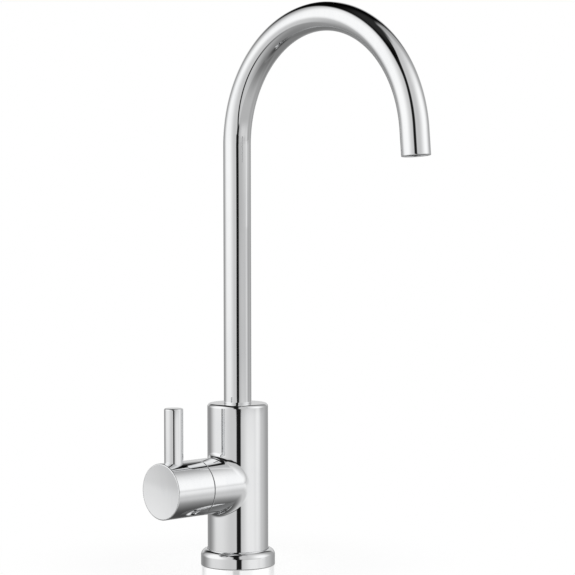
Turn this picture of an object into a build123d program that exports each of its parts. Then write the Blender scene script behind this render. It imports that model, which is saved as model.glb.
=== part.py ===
"""A single-hole drinking water tap with a swivel gooseneck and a side lever.

Millimetres. The origin is on the riser's axis, in the plane of the deck that the tap stands on.
+Z is up, the spout reaches out along -Y and the lever's branch along -X.
Stations called "out" are measured from the riser's axis along the branch.
"""
import os
from math import cos, pi, sin, sqrt

from build123d import *

# Clearances and shared small sizes
running = 0.05          # radial clearance of parts that turn or slide in each other
face_gap = 0.05         # axial clearance of faces that rub
loose_gap = 0.3         # clearance of parts that pass each other without a fit
overrun = 1.0           # how far a cut runs past the face where it leaves

# Body
column_diameter = 28.0
column_top = 74.9
column_edge = 0.9
branch_step = 1.25      # the branch is slimmer than the column by this much all round
branch_axis = 38.0
branch_length = 25.2
branch_fillet = 1.5
foot_diameter = 24.0
foot_lift = 1.5
foot_chamfer = 0.5

# Base ring
ring_ledge = 3.1        # how far the ring stands out beyond the column
ring_height = 7.5
ring_lip = 0.1
ring_chamfer = 0.3
recess_depth = 1.2
recess_gap = 0.15
seal_width = 2.1
seal_height = 1.5

# Threaded shank and what hangs on it below the deck
shank_diameter = 12.0
shank_bore = 7.2
shank_engagement = 12.5
shank_drop = 52.0
shank_chamfer = 0.8
shank_groove_setback = 1.6
deck_thickness = 20.0
gasket_diameter = 26.0
gasket_thickness = 2.0
washer_diameter = 24.0
washer_thickness = 1.5
lock_washer_rim = 3.2   # width of the closed rim inside the teeth
lock_washer_tooth = 1.9
lock_washer_tooth_width = 2.4
lock_washer_thickness = 0.8
lock_washer_teeth = 12
nut_across_flats = 19.0
nut_height = 5.0
hex_corner_chamfer = 0.8

# Push-fit inlet adapter
supply_tube_diameter = 6.35
adapter_engagement = 10.0
adapter_across_flats = 17.0
adapter_hex_height = 11.5
adapter_barrel_wall = 2.6
adapter_floor = 3.0
adapter_edge = 0.6
inlet_washer_thickness = 2.0
water_way = 4.8
tube_stop_length = 1.6
inlet_ring_section = 1.8
collet_barrel_wall = 1.1
collet_barb = 0.65
collet_barb_height = 1.6
collet_travel = 1.5
collet_flange = 1.9
collet_flange_height = 1.6
collet_slot_width = 0.8
collet_slots = 4
mouth_length = 3.9

# Spout
tube_diameter = 12.7
tube_wall = 1.0
riser_top = 193.7
bow_radius = 55.5
bow_angle = 175.0
tail_length = 11.4
tip_edge = 0.3
straightener_height = 6.0
straightener_setback = 1.5
cell_width = 1.7        # across the flats of one hexagonal cell
cell_web = 0.4
cell_rings = 2

# Spout spigot and its socket in the body
socket_roof = 2.6       # brass left between valve chamber and spout socket
socket_chamfer = 0.2
thrust_washer_height = 0.8
spigot_land = 2.6
spigot_bore = 7.6
neck_length = 6.0
solder_gap = 0.03
groove_width = 1.8
groove_depth = 1.3
screw_diameter = 4.0
screw_recess = 0.5
screw_tip_diameter = 2.4
screw_tip_length = 1.6
screw_groove_play = 0.5
screw_socket = 2.0      # across the flats of the key's socket
screw_socket_depth = 2.0

# Waterways in the body
gallery_offset = 5.0    # how far the inlet gallery lies behind the riser's axis
gallery_diameter = 6.0
inlet_pocket_height = 3.0
inlet_pocket_ledge = 0.45
seat_bore = 8.4
outlet_way_diameter = 4.6

# Valve chamber and cartridge, from the outside inwards
mouth_wall = 1.35
mouth_depth = 2.0
flange_ledge = 1.05
flange_setback = 0.2
chamber_step = 0.95
nose_gap = 1.0
nose_wall = 1.15
seat_station = 1.0
nose_lift = 0.6
seat_seal_height = 2.0
seat_seal_wall = 1.7
disc_thickness = 3.0
disc_lug_width = 2.0
disc_lug_setback = 0.4
port_circle_diameter = 7.2
port_width = 2.8
port_arc = 32.0
dog_width = 3.0
dog_depth = 1.2
spindle_foot_width = 5.0
spindle_foot_height = 3.0
spindle_diameter = 8.0
friction_washer_height = 0.6
sleeve_hex = 17.0
sleeve_hex_length = 4.0
window_width = 8.0
window_margin = 0.3
sleeve_ring_section = 1.1
spindle_ring_section = 1.0
spindle_ring_pitch = 4.0
spindle_ring_setback = 2.6
clip_thickness = 0.9
clip_width = 1.9
clip_groove_depth = 0.6
clip_mouth = 3.4
spline_teeth = 20
spline_tooth_height = 0.4
spline_tip_setback = 0.9

# Handle hub and lever
hub_gap = 0.4
hub_length = 21.2
hub_edge = 0.5
hub_seam_edge = 0.2
hub_cavity_wall = 2.1
hub_cavity_room = 3.4
glide_ring_height = 0.3
glide_ring_setback = 0.4
lever_inset = 7.8       # from the hub's outer face to the lever's axis
lever_diameter = 8.6
lever_height = 37.1     # top of the lever above the branch's axis
lever_edge = 0.6
lever_seat_depth = 1.0
lever_stud_diameter = 6.0
lever_stud_chamfer = 0.5
spline_socket_length = 9.5
spline_socket_roof = 1.9

# Radii and stations that follow from the sizes above
column_radius = column_diameter / 2
branch_radius = column_radius - branch_step
foot_radius = foot_diameter / 2
ring_radius = column_radius + ring_ledge
recess_radius = column_radius + recess_gap
ring_bore_radius = foot_radius + recess_gap
column_foot = ring_height - recess_depth
ring_shoulder = ring_ledge - recess_gap - ring_lip

shank_radius = shank_diameter / 2
shank_top = foot_lift + shank_engagement
tapped_radius = shank_radius + running
pocket_floor = shank_top + loose_gap
inlet_pocket_radius = tapped_radius - inlet_pocket_ledge
gallery_radius = gallery_diameter / 2
gallery_floor = pocket_floor + inlet_pocket_height / 2
gallery_top = branch_axis + gallery_radius
outlet_way_station = seat_station + loose_gap + outlet_way_diameter / 2

tube_radius = tube_diameter / 2
tube_bore_radius = tube_radius - tube_wall
socket_radius = tube_radius + running

mouth_radius = branch_radius - mouth_wall
thread_bore_radius = mouth_radius - flange_ledge
chamber_radius = thread_bore_radius - chamber_step
nose_radius = chamber_radius - nose_gap
nose_bore_radius = nose_radius - nose_wall
disc_radius = nose_bore_radius - 2 * running
spindle_radius = spindle_diameter / 2
spindle_bore_radius = spindle_radius + running
socket_floor = branch_axis + chamber_radius + socket_roof

nose_end = seat_station + nose_lift
fixed_disc_start = seat_station + seat_seal_height
moving_disc_start = fixed_disc_start + disc_thickness + face_gap
spindle_foot_start = moving_disc_start + disc_thickness
spindle_foot_end = spindle_foot_start + spindle_foot_height
sleeve_shoulder = spindle_foot_end + friction_washer_height + 2 * face_gap
thread_start = sleeve_shoulder + loose_gap
mouth_start = branch_length - mouth_depth
flange_end = branch_length - flange_setback
sleeve_end = flange_end + sleeve_hex_length
clip_start = sleeve_end + 2 * face_gap
clip_end = clip_start + clip_thickness
hub_start = branch_length + hub_gap
hub_end = hub_start + hub_length
hub_cavity_end = clip_end + face_gap + hub_cavity_room
hub_socket_end = hub_cavity_end + spline_socket_length
spindle_end = hub_socket_end - spline_tip_setback
lever_station = hub_end - lever_inset

lever_radius = lever_diameter / 2
lever_top = branch_axis + lever_height
lever_saddle = sqrt(branch_radius**2 - lever_radius**2)
lever_seat = branch_axis + lever_saddle - lever_seat_depth
lever_stud_foot = branch_axis + spindle_radius + running + spline_socket_roof

# Planes and axes of the valve: local x to the front, local y up, normal outwards
valve_plane = Plane(origin=(0, 0, branch_axis), x_dir=(0, -1, 0), z_dir=(-1, 0, 0))


def hexagon_radius(across_flats):
    """Corner radius of a hexagon with this size across its flats."""
    return across_flats / sqrt(3)


def hexagon_head(plane, across_flats, height):
    """A hexagonal prism on a plane, with its corners turned off at both ends."""
    with BuildPart() as head:
        with BuildSketch(plane):
            Circle(hexagon_radius(across_flats))
        extrude(amount=height)
        chamfer(head.edges().filter_by(GeomType.CIRCLE), hex_corner_chamfer)
        with BuildSketch(plane):
            RegularPolygon(hexagon_radius(across_flats), 6)
        extrude(amount=height, mode=Mode.INTERSECT)
    return head.part


def o_ring(plane, inner_radius, section):
    """A rubber ring squeezed to eight sides, lying in a plane around the plane's origin."""
    side_plane = Plane(origin=plane.origin, x_dir=plane.x_dir, z_dir=plane.y_dir)
    with BuildPart() as ring:
        with BuildSketch(side_plane):
            with Locations((inner_radius + section / 2, 0)):
                RegularPolygon(section / 2, 8, major_radius=False, rotation=180 / 8)
        revolve(axis=Axis(plane.origin, plane.z_dir))
    return ring.part


def spline_points(crest_radius):
    """Corners of a splined shaft's section, one crest and one root for each tooth."""
    corners = []
    for step in range(2 * spline_teeth):
        radius = crest_radius - (step % 2) * spline_tooth_height
        angle = pi * step / spline_teeth
        corners.append((radius * cos(angle), radius * sin(angle)))
    return corners


def disc_ports(turn):
    """The two kidney-shaped ports of a valve disc, cut from the sketch in hand."""
    for side in (0, 180):
        middle = turn + side
        with BuildLine():
            kidney = CenterArc((0, 0), port_circle_diameter / 2, middle - port_arc / 2, port_arc)
        SlotArc(kidney, port_width, mode=Mode.SUBTRACT)


def set_screw(point, direction, length, tip_length, tip_radius):
    """A headless screw that starts at its outer end and points along the direction."""
    outer = Plane(origin=point, z_dir=direction)
    with BuildPart() as screw:
        with BuildSketch(outer):
            Circle(screw_diameter / 2)
        extrude(amount=length - tip_length)
        with BuildSketch(outer.offset(length - tip_length)):
            Circle(tip_radius)
        extrude(amount=tip_length)
        with BuildSketch(outer):
            RegularPolygon(hexagon_radius(screw_socket), 6)
        extrude(amount=screw_socket_depth, mode=Mode.SUBTRACT)
    return screw.part


# Spout, bent from one tube
tube_foot = socket_floor + thrust_washer_height + face_gap + 4 * spigot_land + 2 * groove_width
tube_foot = tube_foot + screw_tip_diameter + 2 * screw_groove_play
bow_centre = (-bow_radius, riser_top)
with BuildPart() as spout_tube:
    with BuildLine(Plane.YZ) as spout_path:
        riser = Line((0, tube_foot), (0, riser_top))
        bow = CenterArc(bow_centre, bow_radius, 0, bow_angle)
        tail = Line(bow @ 1, (bow @ 1) + (bow % 1) * tail_length)
    with BuildSketch(Plane.XY.offset(tube_foot)):
        Circle(tube_radius)
        Circle(tube_bore_radius, mode=Mode.SUBTRACT)
    sweep(path=spout_path.wires()[0])
    tip = Plane(origin=tail @ 1, x_dir=(1, 0, 0), z_dir=tail % 1)
    tip_edges = spout_tube.edges().sort_by_distance(tip.origin)[0:2]
    fillet(tip_edges, tip_edge)

# Honeycomb that calms the jet, set back in the outlet
cell_pitch = cell_width + cell_web
straightener_start = tip.offset(-straightener_setback)
with BuildPart() as flow_straightener:
    with BuildSketch(straightener_start):
        Circle(tube_bore_radius - running)
        for column in range(-cell_rings, cell_rings + 1):
            for row in range(-cell_rings, cell_rings + 1):
                if abs(column + row) <= cell_rings:
                    across = cell_pitch * (column + row / 2)
                    along = cell_pitch * row * sqrt(3) / 2
                    with Locations((across, along)):
                        RegularPolygon(hexagon_radius(cell_width), 6, rotation=30, mode=Mode.SUBTRACT)
    extrude(amount=-straightener_height)

# Turned foot of the spout, soldered into the tube
spigot_foot = socket_floor + thrust_washer_height + face_gap
lower_groove = spigot_foot + spigot_land
upper_groove = lower_groove + groove_width + spigot_land
screw_groove = upper_groove + groove_width + spigot_land
screw_groove_width = screw_tip_diameter + 2 * screw_groove_play
screw_height = screw_groove + screw_groove_width / 2
groove_root_radius = tube_radius - groove_depth
with BuildPart() as spout_spigot:
    with BuildSketch(Plane.XY.offset(spigot_foot)):
        Circle(tube_radius)
    extrude(amount=tube_foot - spigot_foot)
    with BuildSketch(Plane.XY.offset(tube_foot)):
        Circle(tube_bore_radius - solder_gap)
    extrude(amount=neck_length)
    for height, width in (
        (lower_groove, groove_width),
        (upper_groove, groove_width),
        (screw_groove, screw_groove_width),
    ):
        with BuildSketch(Plane.XY.offset(height)):
            Circle(tube_radius + overrun)
            Circle(groove_root_radius, mode=Mode.SUBTRACT)
        extrude(amount=width, mode=Mode.SUBTRACT)
    with BuildSketch(Plane.XY.offset(spigot_foot)):
        Circle(spigot_bore / 2)
    extrude(amount=tube_foot - spigot_foot + neck_length + overrun, mode=Mode.SUBTRACT)

ring_squeeze = socket_radius - groove_root_radius - running
spigot_ring_inner = groove_root_radius + running / 2
spigot_o_ring_lower = o_ring(
    Plane.XY.offset(lower_groove + groove_width / 2), spigot_ring_inner, ring_squeeze
)
spigot_o_ring_upper = o_ring(
    Plane.XY.offset(upper_groove + groove_width / 2), spigot_ring_inner, ring_squeeze
)

with BuildPart() as spout_thrust_washer:
    with BuildSketch(Plane.XY.offset(socket_floor)):
        Circle(socket_radius - running)
        Circle(spigot_bore / 2 + running, mode=Mode.SUBTRACT)
    extrude(amount=thrust_washer_height)

# Body: column and branch in one casting, with its waterways
with BuildPart() as body:
    with BuildSketch(Plane.XY.offset(column_foot)):
        Circle(column_radius)
    extrude(amount=column_top - column_foot)
    with BuildSketch(valve_plane):
        Circle(branch_radius)
    extrude(amount=branch_length)
    saddle = body.edges().filter_by(GeomType.BSPLINE)
    fillet(saddle, branch_fillet)
    fillet(body.edges().group_by(Axis.Z)[-1], column_edge)
    with BuildSketch(Plane.XY.offset(foot_lift)):
        Circle(foot_radius)
    extrude(amount=column_foot - foot_lift)
    chamfer(body.edges().group_by(Axis.Z)[0], foot_chamfer)
    # Spout socket
    with BuildSketch(Plane.XY.offset(socket_floor)):
        Circle(socket_radius)
    extrude(amount=column_top - socket_floor + overrun, mode=Mode.SUBTRACT)
    socket_rim = body.edges().filter_by(GeomType.CIRCLE).group_by(Axis.Z)[-1]
    chamfer(socket_rim.sort_by(SortBy.RADIUS)[0], socket_chamfer)
    with BuildSketch(Plane(origin=(0, 0, screw_height), z_dir=(0, 1, 0))):
        Circle(screw_diameter / 2 + running)
    extrude(amount=column_radius + overrun, mode=Mode.SUBTRACT)
    # Valve chamber, thread and mouth
    for start, radius in (
        (seat_station, chamber_radius),
        (thread_start - loose_gap, thread_bore_radius),
        (mouth_start, mouth_radius),
    ):
        with BuildSketch(valve_plane.offset(start)):
            Circle(radius)
        extrude(amount=branch_length - start + overrun, mode=Mode.SUBTRACT)
    # Water comes up behind the valve and leaves above its nose
    with BuildSketch(valve_plane.offset(-gallery_offset)):
        Circle(seat_bore / 2)
    extrude(amount=gallery_offset + seat_station + overrun, mode=Mode.SUBTRACT)
    with BuildSketch(Plane.XY.offset(foot_lift)):
        Circle(tapped_radius)
    extrude(amount=pocket_floor - foot_lift, mode=Mode.SUBTRACT)
    with BuildSketch(Plane.XY.offset(pocket_floor)):
        Circle(inlet_pocket_radius)
    extrude(amount=inlet_pocket_height, mode=Mode.SUBTRACT)
    with BuildSketch(Plane.XY.offset(gallery_floor)):
        with Locations((gallery_offset, 0)):
            Circle(gallery_radius)
    extrude(amount=gallery_top - gallery_floor, mode=Mode.SUBTRACT)
    with BuildSketch(Plane.XY.offset(branch_axis)):
        with Locations((-outlet_way_station, 0)):
            Circle(outlet_way_diameter / 2)
    extrude(amount=socket_floor - branch_axis + thrust_washer_height, mode=Mode.SUBTRACT)

screw_length = column_radius - screw_recess - groove_root_radius - running
spout_grub_screw = set_screw(
    (0, column_radius - screw_recess, screw_height),
    (0, -1, 0),
    screw_length,
    screw_tip_length,
    screw_tip_diameter / 2,
)

# Base ring and its seal
groove_middle = (ring_bore_radius + ring_radius) / 2
with BuildPart() as base_ring:
    with BuildSketch(Plane.XY):
        Circle(ring_radius)
    extrude(amount=ring_height)
    fillet(base_ring.edges().group_by(Axis.Z)[-1], ring_shoulder)
    chamfer(base_ring.edges().group_by(Axis.Z)[0], ring_chamfer)
    with BuildSketch(Plane.XY.offset(column_foot)):
        Circle(recess_radius)
    extrude(amount=recess_depth + overrun, mode=Mode.SUBTRACT)
    with BuildSketch(Plane.XY):
        Circle(ring_bore_radius)
    extrude(amount=ring_height, mode=Mode.SUBTRACT)
    with BuildSketch(Plane.XY):
        Circle(groove_middle + seal_width / 2 + running)
        Circle(groove_middle - seal_width / 2 - running, mode=Mode.SUBTRACT)
    extrude(amount=seal_height, mode=Mode.SUBTRACT)

with BuildPart() as base_seal:
    with BuildSketch(Plane.XY):
        Circle(groove_middle + seal_width / 2)
        Circle(groove_middle - seal_width / 2, mode=Mode.SUBTRACT)
    extrude(amount=seal_height)

# Threaded shank with its O-ring
shank_groove = shank_top - shank_groove_setback - groove_width
shank_ring_section = groove_depth - running
with BuildPart() as threaded_shank:
    with BuildSketch(Plane.XY.offset(-shank_drop)):
        Circle(shank_radius)
    extrude(amount=shank_drop + shank_top)
    chamfer(threaded_shank.edges(), shank_chamfer)
    with BuildSketch(Plane.XY.offset(shank_groove)):
        Circle(shank_radius + overrun)
        Circle(shank_radius - groove_depth, mode=Mode.SUBTRACT)
    extrude(amount=groove_width, mode=Mode.SUBTRACT)
    with BuildSketch(Plane.XY.offset(-shank_drop)):
        Circle(shank_bore / 2)
    extrude(amount=shank_drop + shank_top, mode=Mode.SUBTRACT)

shank_o_ring = o_ring(
    Plane.XY.offset(shank_groove + groove_width / 2),
    shank_radius - groove_depth + running / 2,
    shank_ring_section,
)

# Clamping stack below the deck
gasket_foot = -deck_thickness - gasket_thickness
washer_foot = gasket_foot - washer_thickness
lock_washer_foot = washer_foot - lock_washer_thickness
nut_foot = lock_washer_foot - nut_height
stack_bore = shank_radius + loose_gap
with BuildPart() as deck_gasket:
    with BuildSketch(Plane.XY.offset(gasket_foot)):
        Circle(gasket_diameter / 2)
        Circle(stack_bore, mode=Mode.SUBTRACT)
    extrude(amount=gasket_thickness)

with BuildPart() as fixing_washer:
    with BuildSketch(Plane.XY.offset(washer_foot)):
        Circle(washer_diameter / 2)
        Circle(stack_bore, mode=Mode.SUBTRACT)
    extrude(amount=washer_thickness)

rim_radius = stack_bore + lock_washer_rim
with BuildPart() as lock_washer:
    with BuildSketch(Plane.XY.offset(lock_washer_foot)):
        Circle(rim_radius)
        with PolarLocations(rim_radius, lock_washer_teeth):
            Rectangle(2 * lock_washer_tooth, lock_washer_tooth_width)
        Circle(stack_bore, mode=Mode.SUBTRACT)
    extrude(amount=lock_washer_thickness)

with BuildPart() as fixing_nut:
    add(hexagon_head(Plane.XY.offset(nut_foot), nut_across_flats, nut_height))
    with BuildSketch(Plane.XY.offset(nut_foot)):
        Circle(shank_radius + running)
    extrude(amount=nut_height, mode=Mode.SUBTRACT)

# Push-fit adapter on the end of the shank
supply_radius = supply_tube_diameter / 2
adapter_top = adapter_engagement - shank_drop
washer_seat = -shank_drop - inlet_washer_thickness
tube_stop = washer_seat - adapter_floor
ring_pocket_top = tube_stop - tube_stop_length
tube_guide_radius = supply_radius + 2 * running
ring_pocket_radius = tube_guide_radius + inlet_ring_section
inlet_ring_foot = ring_pocket_top - inlet_ring_section
collet_bore_radius = supply_radius + running
collet_barrel_radius = collet_bore_radius + collet_barrel_wall
mouth_radius_below = collet_barrel_radius + 2 * running
collet_top = inlet_ring_foot - face_gap - collet_travel - loose_gap
mouth_top = collet_top - collet_barb_height - face_gap
adapter_foot = mouth_top - mouth_length
adapter_barrel_radius = ring_pocket_radius + adapter_barrel_wall
adapter_hex_foot = adapter_top - adapter_hex_height
with BuildPart() as inlet_adapter:
    with BuildSketch(Plane.XY.offset(adapter_foot)):
        Circle(adapter_barrel_radius)
    extrude(amount=adapter_top - adapter_foot)
    chamfer(inlet_adapter.edges().group_by(Axis.Z)[0], adapter_edge)
    add(hexagon_head(Plane.XY.offset(adapter_hex_foot), adapter_across_flats, adapter_hex_height))
    for start, end, radius in (
        (adapter_top + overrun, washer_seat, tapped_radius),
        (washer_seat + overrun, tube_stop - overrun, water_way / 2),
        (tube_stop, ring_pocket_top - overrun, tube_guide_radius),
        (ring_pocket_top, mouth_top, ring_pocket_radius),
        (mouth_top + overrun, adapter_foot - overrun, mouth_radius_below),
    ):
        with BuildSketch(Plane.XY.offset(end)):
            Circle(radius)
        extrude(amount=start - end, mode=Mode.SUBTRACT)

with BuildPart() as inlet_washer:
    with BuildSketch(Plane.XY.offset(washer_seat)):
        Circle(shank_radius - running)
        Circle(water_way / 2, mode=Mode.SUBTRACT)
    extrude(amount=inlet_washer_thickness)

inlet_o_ring = o_ring(
    Plane.XY.offset(inlet_ring_foot + inlet_ring_section / 2),
    tube_guide_radius,
    inlet_ring_section - running,
)

# Release collet at rest, gripping, with its travel free below the adapter
collet_flange_top = adapter_foot - collet_travel - running
collet_foot = collet_flange_top - collet_flange_height
with BuildPart() as inlet_collet:
    for start, end, radius in (
        (collet_top, collet_foot, collet_barrel_radius),
        (collet_top, collet_top - collet_barb_height, collet_barrel_radius + collet_barb),
        (collet_flange_top, collet_foot, collet_barrel_radius + collet_flange),
    ):
        with BuildSketch(Plane.XY.offset(end)):
            Circle(radius)
        extrude(amount=start - end)
    with BuildSketch(Plane.XY.offset(collet_foot)):
        Circle(collet_bore_radius)
    extrude(amount=collet_top - collet_foot, mode=Mode.SUBTRACT)
    with BuildSketch(Plane.XY.offset(adapter_foot + overrun)):
        with PolarLocations(collet_barrel_radius, collet_slots):
            Rectangle(2 * collet_barrel_wall + 2 * collet_barb, collet_slot_width)
    extrude(amount=collet_top - adapter_foot, mode=Mode.SUBTRACT)

# Seal and discs of the valve, stacked outwards from the seat
with BuildPart() as seat_seal:
    with BuildSketch(valve_plane.offset(seat_station)):
        Circle(disc_radius)
        Circle(disc_radius - seat_seal_wall, mode=Mode.SUBTRACT)
    extrude(amount=seat_seal_height)

lug_reach = nose_radius - disc_lug_setback
with BuildPart() as fixed_disc:
    with BuildSketch(valve_plane.offset(fixed_disc_start)):
        Circle(disc_radius)
        Rectangle(2 * lug_reach, disc_lug_width)
        disc_ports(0)
    extrude(amount=disc_thickness)

with BuildPart() as moving_disc:
    with BuildSketch(valve_plane.offset(moving_disc_start)):
        Circle(disc_radius)
        disc_ports(90)
    extrude(amount=disc_thickness)
    with BuildSketch(valve_plane.offset(spindle_foot_start - dog_depth)):
        Rectangle(2 * disc_radius + overrun, dog_width)
    extrude(amount=dog_depth, mode=Mode.SUBTRACT)

# Spindle: dog and foot on the moving disc, sealed shaft, clip groove, splined end
ring_stations = [sleeve_shoulder + spindle_ring_setback + spindle_ring_pitch * n for n in (0, 1)]
spline_start = hub_cavity_end - loose_gap
spindle_root_radius = spindle_radius - spindle_ring_section
with BuildPart() as spindle:
    with BuildSketch(valve_plane.offset(spindle_foot_start - dog_depth + face_gap)):
        Circle(disc_radius - running)
        Rectangle(2 * disc_radius, dog_width - running, mode=Mode.INTERSECT)
    extrude(amount=dog_depth)
    with BuildSketch(valve_plane.offset(spindle_foot_start)):
        Circle(disc_radius - running)
        Rectangle(2 * disc_radius, spindle_foot_width, mode=Mode.INTERSECT)
    extrude(amount=spindle_foot_height)
    with BuildSketch(valve_plane.offset(spindle_foot_start)):
        Circle(spindle_radius)
    extrude(amount=spline_start - spindle_foot_start)
    with BuildSketch(valve_plane.offset(spline_start)):
        Polygon(*spline_points(spindle_radius), align=None)
    extrude(amount=spindle_end - spline_start)
    for start, width, depth in (
        (ring_stations[0], groove_width, spindle_ring_section),
        (ring_stations[1], groove_width, spindle_ring_section),
        (clip_start - face_gap, clip_thickness + 2 * face_gap, clip_groove_depth),
    ):
        with BuildSketch(valve_plane.offset(start)):
            Circle(spindle_radius + overrun)
            Circle(spindle_radius - depth, mode=Mode.SUBTRACT)
        extrude(amount=width, mode=Mode.SUBTRACT)

spindle_o_ring_inner = o_ring(
    valve_plane.offset(ring_stations[0] + groove_width / 2),
    spindle_root_radius + running / 2,
    spindle_ring_section - running,
)
spindle_o_ring_outer = o_ring(
    valve_plane.offset(ring_stations[1] + groove_width / 2),
    spindle_root_radius + running / 2,
    spindle_ring_section - running,
)

with BuildPart() as friction_washer:
    with BuildSketch(valve_plane.offset(spindle_foot_end + face_gap)):
        Circle(disc_radius)
        Circle(spindle_bore_radius, mode=Mode.SUBTRACT)
    extrude(amount=friction_washer_height)

clip_inner_radius = spindle_radius - clip_groove_depth + running
with BuildPart() as spindle_circlip:
    with BuildSketch(valve_plane.offset(clip_start)):
        Circle(clip_inner_radius + clip_width)
        Circle(clip_inner_radius, mode=Mode.SUBTRACT)
        with Locations((0, -clip_inner_radius - clip_width / 2)):
            Rectangle(clip_mouth, 2 * clip_width, mode=Mode.SUBTRACT)
    extrude(amount=clip_thickness)

# Cartridge sleeve: windowed nose, threaded barrel, flange and hexagon
sleeve_neck_end = mouth_start
sleeve_neck_start = sleeve_neck_end - sleeve_ring_section - loose_gap
sleeve_neck_radius = thread_bore_radius - sleeve_ring_section
with BuildPart() as cartridge_sleeve:
    for start, end, radius in (
        (nose_end, sleeve_neck_end, nose_radius),
        (thread_start, sleeve_neck_end, thread_bore_radius - running),
        (mouth_start, flange_end, mouth_radius - running),
    ):
        with BuildSketch(valve_plane.offset(start)):
            Circle(radius)
        extrude(amount=end - start)
    with BuildSketch(valve_plane.offset(sleeve_neck_start)):
        Circle(thread_bore_radius)
        Circle(sleeve_neck_radius, mode=Mode.SUBTRACT)
    extrude(amount=sleeve_neck_end - sleeve_neck_start, mode=Mode.SUBTRACT)
    add(hexagon_head(valve_plane.offset(flange_end), sleeve_hex, sleeve_hex_length))
    for start, end, radius in (
        (nose_end, sleeve_shoulder, nose_bore_radius),
        (sleeve_shoulder, sleeve_end, spindle_bore_radius),
    ):
        with BuildSketch(valve_plane.offset(start)):
            Circle(radius)
        extrude(amount=end - start, mode=Mode.SUBTRACT)
    with BuildSketch(valve_plane.offset(nose_end)):
        Rectangle(2 * chamber_radius, disc_lug_width + 2 * running)
    extrude(amount=fixed_disc_start + disc_thickness - nose_end, mode=Mode.SUBTRACT)
    with BuildSketch(valve_plane.offset(spindle_foot_start + window_margin)):
        Rectangle(window_width, 2 * chamber_radius)
    extrude(amount=spindle_foot_height - 2 * window_margin, mode=Mode.SUBTRACT)

sleeve_o_ring = o_ring(
    valve_plane.offset((sleeve_neck_start + sleeve_neck_end) / 2),
    sleeve_neck_radius + running / 2,
    sleeve_ring_section - running,
)

# Ring that the hub turns against, set back in the seam
with BuildPart() as hub_glide_ring:
    with BuildSketch(valve_plane.offset(branch_length)):
        Circle(branch_radius - glide_ring_setback)
        Circle(mouth_radius + running, mode=Mode.SUBTRACT)
    extrude(amount=glide_ring_height)

# Handle hub, splined on the spindle
hub_cavity_radius = branch_radius - hub_cavity_wall
hub_spline_radius = spindle_radius + running
lever_axis = Plane(origin=(-lever_station, 0, 0))
with BuildPart() as handle_hub:
    with BuildSketch(valve_plane.offset(hub_start)):
        Circle(branch_radius)
    extrude(amount=hub_length)
    chamfer(handle_hub.edges().sort_by(Axis.X)[0], hub_edge)
    chamfer(handle_hub.edges().sort_by(Axis.X)[-1], hub_seam_edge)
    with BuildSketch(valve_plane.offset(hub_start)):
        Circle(hub_cavity_radius)
    extrude(amount=hub_cavity_end - hub_start, mode=Mode.SUBTRACT)
    with BuildSketch(valve_plane.offset(hub_cavity_end)):
        Polygon(*spline_points(hub_spline_radius), align=None)
    extrude(amount=spline_socket_length, mode=Mode.SUBTRACT)
    with BuildSketch(lever_axis.offset(lever_seat)):
        Circle(lever_radius + running)
    extrude(amount=branch_axis + branch_radius + overrun - lever_seat, mode=Mode.SUBTRACT)
    with BuildSketch(lever_axis.offset(lever_stud_foot)):
        Circle(lever_stud_diameter / 2 + running)
    extrude(amount=lever_seat - lever_stud_foot, mode=Mode.SUBTRACT)
    with BuildSketch(lever_axis.offset(branch_axis)):
        Circle(screw_diameter / 2 + running)
    extrude(amount=-branch_radius - overrun, mode=Mode.SUBTRACT)

with BuildPart() as lever_pin:
    with BuildSketch(lever_axis.offset(lever_seat)):
        Circle(lever_radius)
    extrude(amount=lever_top - lever_seat)
    fillet(lever_pin.edges().group_by(Axis.Z)[-1], lever_edge)
    with BuildSketch(lever_axis.offset(lever_stud_foot + running)):
        Circle(lever_stud_diameter / 2)
    extrude(amount=lever_seat - lever_stud_foot)
    chamfer(lever_pin.edges().group_by(Axis.Z)[0], lever_stud_chamfer)

hub_screw_length = branch_radius - screw_recess - spindle_radius - running
hub_grub_screw = set_screw(
    (-lever_station, 0, branch_axis - branch_radius + screw_recess),
    (0, 0, 1),
    hub_screw_length,
    screw_tip_length,
    screw_tip_diameter / 2,
)

# Every piece under the name that a fitter would give it
pieces = {
    "body": body.part,
    "base_ring": base_ring.part,
    "base_seal": base_seal.part,
    "threaded_shank": threaded_shank.part,
    "shank_o_ring": shank_o_ring,
    "deck_gasket": deck_gasket.part,
    "fixing_washer": fixing_washer.part,
    "lock_washer": lock_washer.part,
    "fixing_nut": fixing_nut.part,
    "inlet_adapter": inlet_adapter.part,
    "inlet_washer": inlet_washer.part,
    "inlet_o_ring": inlet_o_ring,
    "inlet_collet": inlet_collet.part,
    "spout_tube": spout_tube.part,
    "spout_spigot": spout_spigot.part,
    "spigot_o_ring_lower": spigot_o_ring_lower,
    "spigot_o_ring_upper": spigot_o_ring_upper,
    "spout_thrust_washer": spout_thrust_washer.part,
    "spout_grub_screw": spout_grub_screw,
    "flow_straightener": flow_straightener.part,
    "cartridge_sleeve": cartridge_sleeve.part,
    "sleeve_o_ring": sleeve_o_ring,
    "seat_seal": seat_seal.part,
    "fixed_disc": fixed_disc.part,
    "moving_disc": moving_disc.part,
    "spindle": spindle.part,
    "spindle_o_ring_inner": spindle_o_ring_inner,
    "spindle_o_ring_outer": spindle_o_ring_outer,
    "friction_washer": friction_washer.part,
    "spindle_circlip": spindle_circlip.part,
    "hub_glide_ring": hub_glide_ring.part,
    "handle_hub": handle_hub.part,
    "lever_pin": lever_pin.part,
    "hub_grub_screw": hub_grub_screw,
}
os.makedirs("parts", exist_ok=True)
for name, piece in pieces.items():
    piece.label = name
    export_step(piece, "parts/" + name + ".step")
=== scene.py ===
"""The look of the drinking water tap: chromed castings, valve parts, clamping stack and studio."""
from collections import namedtuple
from functools import partial
from math import acos, atan2, cos, pi, radians, sin, sqrt, tan

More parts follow.
